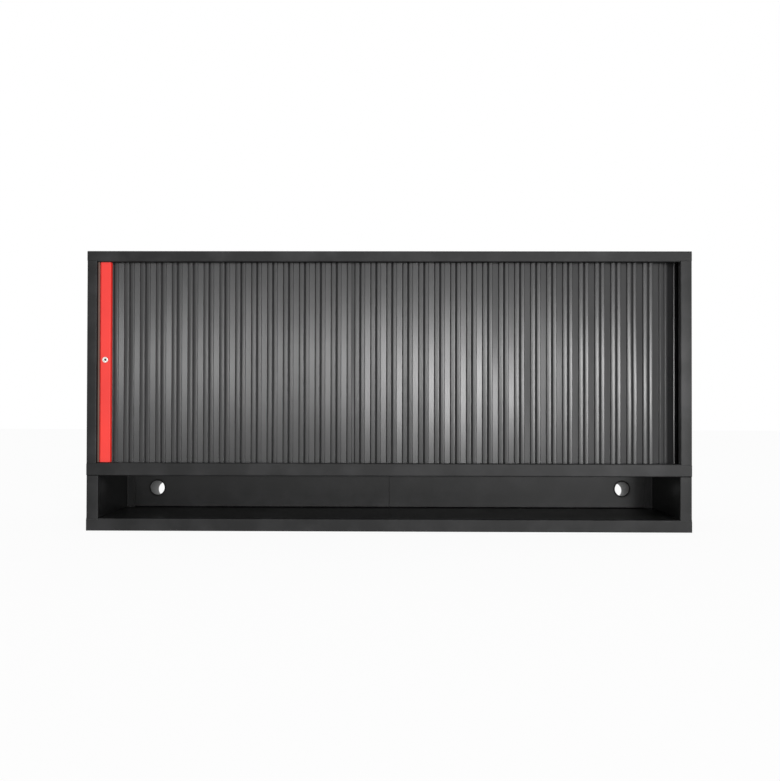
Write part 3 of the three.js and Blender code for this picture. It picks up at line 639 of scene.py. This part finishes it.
def addSlats():
    names = ["slat_%02d" % number for number in range(1, slat["count"] + 1)]
    low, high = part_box(names[0])
    hinges, pitch = findHinges(names, low)
    joiningWidth = hinges[slat["joining"]].x - hinges[slat["joining"] - 1].x
    ordinary = slatBlank(pitch, True, low.z, high.z)
    joining = slatBlank(joiningWidth, False, low.z, high.z)
    for index, name in enumerate(names):
        bm = (joining if index + 1 == slat["joining"] else ordinary).copy()
        along = hinges[index + 1] - hinges[index]
        for vert in bm.verts:
            rise = (vert.co.z - low.z) / (high.z - low.z)
            share = vert.co.x / along.length
            vert.co.y += (1 - share) * hingeSway(index, vert.co.z, rise)
            vert.co.y += share * hingeSway(index + 1, vert.co.z, rise)
        turn = Matrix.Rotation(math.atan2(along.y, along.x), 4, "Z")
        place = Matrix.Translation((hinges[index].x, hinges[index].y, 0))
        bmesh.ops.transform(bm, matrix=place @ turn, verts=bm.verts)
        piece = finishPiece("curtain" + name.title().replace("_", ""), bm, "slatPlastic",
                            name, [name], slat["smoothUnder"])
        evenNormals(piece)
        if index < slat["front"]:
            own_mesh(piece)
    ordinary.free()
    joining.free()


addSlats()
print("slats done:", slat["count"])


# Lead rail: a steep step beside the face on the left, and on the right a wall straight down
leadRail = {
    "edge": 0.35 * mm,
    "segments": 3,
    "sharpOver": 60.0,
    "smoothUnder": 35.0,
    "face": 5.0 * mm,         # behind the cabinet's front
    "stepFrom": 4.9 * mm,     # where the step starts, from the rail's left side
    "stepDrop": 2.6 * mm,
    "faceWider": 1.3 * mm,    # so that the face reaches over the first slat
    "browReach": 4.0 * mm,    # of the face's right end, which is widened
    "browDepth": 0.6 * mm,
    "socketPlay": 0.4 * mm,
    "socketDepth": 12.1 * mm,
    "socketWider": 0.7 * mm,  # so that swaying slats close up inside it
    "near": 0.1 * mm,         # how exactly the socket's walls are found
    "onStep": 0.01 * mm,      # and the cut along the step
}


def addLeadRail():
    low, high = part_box("lead_rail")
    slatLow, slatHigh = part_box("slat_01")
    near, play, wider = leadRail["near"], leadRail["socketPlay"], leadRail["socketWider"]
    bm = mergedCopy("lead_rail")
    step = low.x + leadRail["stepFrom"]
    bmesh.ops.bisect_plane(bm, geom=bm.verts[:] + bm.edges[:] + bm.faces[:], dist=hair,
                           plane_co=(step, 0, 0), plane_no=(1, 0, 0))
    onStep = [v for v in bm.verts if abs(v.co.x - step) < leadRail["onStep"]]
    sunk = [v for v in onStep if v.co.y < low.y + leadRail["face"]]
    bmesh.ops.translate(bm, verts=sunk, vec=(0, leadRail["stepDrop"], 0))
    atRight = [v for v in bm.verts if v.co.x > high.x - leadRail["browReach"]]
    brow = [v for v in atRight if v.co.y < low.y + leadRail["browDepth"]]
    bmesh.ops.translate(bm, verts=brow, vec=(leadRail["faceWider"], 0, 0))
    inSocket = [v for v in bm.verts if v.co.x > high.x - leadRail["socketDepth"] - near]
    socketFront = [v for v in inSocket if abs(v.co.y - slatLow.y + play) < near]
    socketBack = [v for v in inSocket if abs(v.co.y - slatHigh.y - play) < near]
    bmesh.ops.translate(bm, verts=socketFront, vec=(0, -wider, 0))
    bmesh.ops.translate(bm, verts=socketBack, vec=(0, wider, 0))
    easeEdges(bm, leadRail["edge"], leadRail["segments"], leadRail["sharpOver"])
    evenNormals(finishPiece("leadRailProfile", bm, "redCoat", "rail", ["lead_rail"],
                            leadRail["smoothUnder"]))


# Strip whose brownish grey is a painted highlight along the rail's left edge
railHighlightStrip = {
    "width": 4.2 * mm,
    "height": 4.2 * mm,
    "round": 0.9 * mm,
    "roundSegments": 4,
    "setOff": 0.3 * mm,
    "behindFace": 0.3 * mm,
    "smoothUnder": 40.0,
}


def addRailHighlightStrip():
    # Strip on the lip beside the step, against the stile: its brownish grey is a painted highlight along
    # the rail's left edge
    low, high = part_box("lead_rail")
    bm = bmesh.new()
    bmesh.ops.create_cube(bm, size=1)
    bmesh.ops.scale(bm, verts=bm.verts, vec=(railHighlightStrip["width"], railHighlightStrip["height"], high.z - low.z))
    bmesh.ops.translate(bm, verts=bm.verts, vec=(
        low.x + railHighlightStrip["setOff"] + railHighlightStrip["width"] / 2,
        low.y + railHighlightStrip["behindFace"] + railHighlightStrip["height"] / 2,
        (low.z + high.z) / 2,
    ))
    upright = [e for e in bm.edges if abs(e.verts[0].co.z - e.verts[1].co.z) > mm]
    bmesh.ops.bevel(bm, geom=upright, offset=railHighlightStrip["round"], offset_type="OFFSET",
                    segments=railHighlightStrip["roundSegments"], profile=0.5, affect="EDGES", clamp_overlap=True,
                    material=-1)
    finishPiece("railHighlightStrip", bm, "highlightStripPaint", "rail", (), railHighlightStrip["smoothUnder"])


addLeadRail()
addRailHighlightStrip()


# Turned pieces: a profile of radius and depth, spun round an axis along Y
turning = {"steps": 64}


def turned(profile, axisX, axisZ):
    bm = bmesh.new()
    verts = [bm.verts.new((radius, y, 0)) for radius, y in profile]
    edges = [bm.edges.new((verts[i], verts[i + 1])) for i in range(len(verts) - 1)]
    bmesh.ops.spin(bm, geom=verts + edges, cent=(0, 0, 0), axis=(0, 1, 0), dvec=(0, 0, 0),
                   angle=2 * math.pi, steps=turning["steps"], use_merge=True)
    bmesh.ops.remove_doubles(bm, verts=bm.verts, dist=hair)
    bmesh.ops.recalc_face_normals(bm, faces=bm.faces[:])
    bmesh.ops.translate(bm, verts=bm.verts, vec=(axisX, 0, axisZ))
    return bm


# Cam lock: head, plug with its key slot, and a black disc in the slot's mouth that is painted shade of the
# key hole
lock = {
    "headRadius": 6.9 * mm,
    "headHeight": 1.4 * mm,
    "rimWidth": 1.3 * mm,
    "dish": 0.35 * mm,        # how far the middle of the head is sunk
    "barrelRadius": 6.0 * mm,
    "plugRadius": 4.45 * mm,
    "plugGap": 0.12 * mm,
    "plugSunk": 0.1 * mm,
    "shankRadius": 2.5 * mm,
    "wellRadius": 2.5 * mm,   # round mouth of the key slot
    "wellDepth": 1.6 * mm,
    "slotWidth": 1.4 * mm,
    "slotLength": 7.0 * mm,
    "slotDepth": 3.0 * mm,
    # Black disc in the key well: painted shade of the key hole
    "shadeDiscThickness": 0.4 * mm,
    "shadeDiscGap": 0.02 * mm,
    "shadeDiscFlatShare": 0.5,   # of the well's radius, before the black disc of painted shade rises to the mouth
    "round": 0.25 * mm,
    "rimRoundShare": 0.3,     # of the rounding, where the rim's middle facet starts
    "smoothUnder": 30.0,
}


def cutKeyway(piece, x, face, z):
    cutter = bmesh.new()
    bmesh.ops.create_cube(cutter, size=1)
    bmesh.ops.scale(cutter, vec=(lock["slotWidth"], 2 * lock["slotDepth"], lock["slotLength"]),
                    verts=cutter.verts)
    bmesh.ops.translate(cutter, vec=(x, face, z), verts=cutter.verts)
    mesh = bpy.data.meshes.new("keyCutter")
    cutter.to_mesh(mesh)
    cutter.free()
    tool = bpy.data.objects.new("keyCutter", mesh)
    bpy.context.scene.collection.objects.link(tool)
    modifier = piece.modifiers.new("keyway", "BOOLEAN")
    modifier.operation = "DIFFERENCE"
    modifier.solver = "EXACT"
    modifier.object = tool
    shaped = bpy.data.meshes.new_from_object(piece.evaluated_get(bpy.context.evaluated_depsgraph_get()))
    piece.modifiers.clear()
    piece.data = shaped
    bpy.data.objects.remove(tool)


def addLock():
    low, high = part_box("lock_barrel")
    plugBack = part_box("lock_plug")[1].y
    x, z = (low.x + high.x) / 2, (low.z + high.z) / 2
    front, back = low.y, high.y
    bore = lock["plugRadius"] + lock["plugGap"]
    rim, soft = lock["headRadius"], lock["round"]
    facet = soft * lock["rimRoundShare"]
    sunk = front + lock["dish"]
    barrel = [
        (bore, back), (lock["barrelRadius"], back), (lock["barrelRadius"], front + lock["headHeight"]),
        (rim, front + lock["headHeight"]), (rim, front + soft), (rim - facet, front + facet),
        (rim - soft, front), (rim - lock["rimWidth"], front), (rim - lock["rimWidth"] - lock["dish"], sunk),
        (bore + soft, sunk), (bore, sunk + soft), (bore, back),
    ]
    evenNormals(finishPiece("lockBarrelTurned", turned(barrel, x, z), "nickel", "rail",
                            ["lock_barrel"], lock["smoothUnder"]))
    face = sunk + lock["plugSunk"]
    wellEnd = face + lock["wellDepth"]
    shank, core, well = lock["shankRadius"], lock["plugRadius"], lock["wellRadius"]
    plug = [
        (0, plugBack), (shank, plugBack), (shank, back), (core, back), (core, face + soft),
        (core - soft, face), (well + soft, face), (well, face + soft), (well, wellEnd), (0, wellEnd),
    ]
    piece = finishPiece("lockPlugTurned", turned(plug, x, z), "nickel", "lock", ["lock_plug"],
                        lock["smoothUnder"])
    cutKeyway(piece, x, face, z)
    evenNormals(piece)
    # Black disc filling the key well: painted shade of the key hole
    shadeDiscFront = wellEnd - lock["shadeDiscThickness"]
    shadeDiscRadius = well - lock["shadeDiscGap"]
    shadeDisc = [
        (0, wellEnd), (0, shadeDiscFront), (well * lock["shadeDiscFlatShare"], shadeDiscFront),
        (shadeDiscRadius, face + soft), (shadeDiscRadius, wellEnd), (0, wellEnd),
    ]
    evenNormals(finishPiece("lockHoleShadeDisc", turned(shadeDisc, x, z), "rubber", "lock", (),
                            lock["smoothUnder"]))


addLock()


# Nodes that keep the frame's own mesh
dressed = {
    "top_track": "trackPlastic",
    "bottom_track": "trackPlastic",
    "top_glider": "trackPlastic",
    "bottom_glider": "trackPlastic",
    "lock_cam": "zinc",
}


def dressNodes():
    for node, name in dressed.items():
        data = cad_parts[node].data
        data.materials.clear()
        data.materials.append(materials[name])


dressNodes()
print("rail, lock and tracks done")


# Rubber edging in the niche's cable holes, and a sleeve from each to the lower hole in the rear panel,
# whose pale grey is painted light for the light that comes in through the holes
grommet = {
    "holes": {"Left": "niche_back_left", "Right": "niche_back_right"},
    "fromPost": 59.0 * mm,
    "radius": 20.0 * mm,
    "lip": 2.6 * mm,
    "lipSlope": 0.6 * mm,     # at the outer end of the lip
    "lipEase": 0.5 * mm,      # and at its inner end
    "thick": 1.1 * mm,
    "frontShare": 0.5,        # of the thickness that the lip's ends have in front
    "backShare": 0.6,
    "sheet": 1.2 * mm,
    "clear": 0.05 * mm,
    "neckClear": 0.1 * mm,
    "sleeve": 0.8 * mm,
    "sleeveClear": 0.1 * mm,
    "drop": 13.0 * mm,
    "smoothUnder": 40.0,
}


def edgingProfile(front, back):
    thick, clear = grommet["thick"], grommet["clear"]
    outer = grommet["radius"] + grommet["lip"]
    slope = outer - grommet["lipSlope"]
    inner = grommet["radius"] - thick
    ease = inner + grommet["lipEase"]
    neck = grommet["radius"] - grommet["neckClear"]
    frontEnd = front - thick * grommet["frontShare"]
    return [
        (inner, frontEnd), (ease, front - thick), (slope, front - thick), (outer, frontEnd),
        (outer, front - clear), (neck, front - clear), (neck, back + clear), (outer, back + clear),
        (outer, back + thick * grommet["backShare"]), (slope, back + thick), (ease, back + thick),
        (inner, back + thick * grommet["frontShare"]), (inner, frontEnd),
    ]


def addGrommets():
    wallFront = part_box("rear_panel")[0].y
    for side, node in grommet["holes"].items():
        low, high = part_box(node)
        x = low.x + grommet["fromPost"] if side == "Left" else high.x - grommet["fromPost"]
        z = (low.z + high.z) / 2
        back = low.y + grommet["sheet"]
        evenNormals(finishPiece("cableEdging" + side, turned(edgingProfile(low.y, back), x, z), "rubber",
                                "cabinet", (), grommet["smoothUnder"]))
        start, end = back + grommet["thick"], wallFront - grommet["sleeveClear"]
        inside, outside = grommet["radius"], grommet["radius"] + grommet["sleeve"]
        wall = [(inside, start), (outside, start), (outside, end), (inside, end), (inside, start)]
        sleeve = turned(wall, x, z)
        for vert in sleeve.verts:
            vert.co.z -= grommet["drop"] * (vert.co.y - start) / (end - start)
        # Pale grey sleeve: painted light inside the cable hole
        finishPiece("cableSleeve" + side, sleeve, "sleeve", "cabinet", (),
                    grommet["smoothUnder"])


addGrommets()
print("cable edging done")


# Stage: a white floor that keeps a trace of the cabinet's shadow
stage = {"size": 14.0, "lit": (0.82, 0.82, 0.82, 1), "rough": 0.9, "whiteShare": 0.93}


def seenRays(tree):
    # 1 for the rays that should meet plain white, 0 for those that carry light
    rays = addNode(tree, "ShaderNodeLightPath")
    seen = addNode(tree, "ShaderNodeMath", [
        (0, rays.outputs["Is Camera Ray"]), (1, rays.outputs["Is Glossy Ray"]),
    ], operation="MAXIMUM")
    through = addNode(tree, "ShaderNodeMath", [
        (0, seen.outputs["Value"]), (1, rays.outputs["Is Transmission Ray"]),
    ], operation="MAXIMUM")
    return through.outputs["Value"]


def addStage():
    material, tree, shader = startMaterial("whiteStage")[:3]
    shader.inputs["Base Color"].default_value = stage["lit"]
    shader.inputs["Roughness"].default_value = stage["rough"]
    shader.inputs["Specular IOR Level"].default_value = 0
    glow = addNode(tree, "ShaderNodeEmission", [("Strength", 1.0)])
    share = addNode(tree, "ShaderNodeMath", [(0, seenRays(tree)), (1, stage["whiteShare"])],
                    operation="MULTIPLY")
    mixed = addNode(tree, "ShaderNodeMixShader", [
        (0, share.outputs["Value"]), (1, shader.outputs["BSDF"]), (2, glow.outputs["Emission"]),
    ])
    tree.links.new(mixed.outputs["Shader"], tree.nodes["Material Output"].inputs["Surface"])
    bm = bmesh.new()
    bmesh.ops.create_grid(bm, x_segments=1, y_segments=1, size=stage["size"] / 2)
    mesh = bpy.data.meshes.new("floor")
    bm.to_mesh(mesh)
    bm.free()
    mesh.materials.append(material)
    floor = bpy.data.objects.new("floor", mesh)
    bpy.context.scene.collection.objects.link(floor)


addStage()


# Lamps: soft lights far off, so that the whole curtain sees each at about the same angle
lamps = {
    "aim": (0, -0.16, 0.4),
    "distance": 8.0,
    "lights": [   # azimuth to the right of the front and elevation in degrees, size, watts
        {"name": "leftStrip", "azimuth": -9, "elevation": 2.5, "size": (2.0, 0.5), "power": 36},
        {"name": "frontStrip", "azimuth": 1, "elevation": 2.5, "size": (1.0, 0.5), "power": 25},
        {"name": "rightStrip", "azimuth": 14, "elevation": 2.5, "size": (2.0, 0.5), "power": 56},
        {"name": "rightSheen", "azimuth": 20, "elevation": 0, "size": (1.5, 0.3), "power": 66},
        {"name": "highRight", "azimuth": 20, "elevation": 18, "size": (1.5, 1.0), "power": 225},
    ],
    "unreflected": "highRight",   # seen from behind, its reflection would whiten the top panel
}
world = {"ambient": 0.7}


def addLamps():
    aim = Vector(lamps["aim"])
    for lamp in lamps["lights"]:
        data = bpy.data.lights.new(lamp["name"], "AREA")
        data.shape = "RECTANGLE"
        data.size, data.size_y = lamp["size"]
        data.energy = lamp["power"]
        obj = bpy.data.objects.new(lamp["name"], data)
        obj.visible_glossy = lamp["name"] != lamps["unreflected"]
        turn = Matrix.Rotation(math.radians(lamp["azimuth"]), 3, "Z")
        lift = Matrix.Rotation(math.radians(-lamp["elevation"]), 3, "X")
        away = turn @ lift @ Vector((0, -lamps["distance"], 0))
        obj.location = aim + away
        obj.rotation_euler = (-away).to_track_quat("-Z", "Y").to_euler()
        bpy.context.scene.collection.objects.link(obj)


def addWorld():
    sky = bpy.data.worlds.new("world")
    bpy.context.scene.world = sky
    sky.use_nodes = True
    tree = sky.node_tree
    ambient = tree.nodes["Background"]
    ambient.inputs["Color"].default_value = (1, 1, 1, 1)
    ambient.inputs["Strength"].default_value = world["ambient"]
    white = addNode(tree, "ShaderNodeBackground", [("Color", (1, 1, 1, 1)), ("Strength", 1.0)])
    mixed = addNode(tree, "ShaderNodeMixShader", [
        (0, seenRays(tree)), (1, ambient.outputs["Background"]), (2, white.outputs["Background"]),
    ])
    tree.links.new(mixed.outputs["Shader"], tree.nodes["World Output"].inputs["Surface"])


addLamps()
addWorld()
bpy.context.scene.view_settings.view_transform = "Standard"
print("lamps and world done")
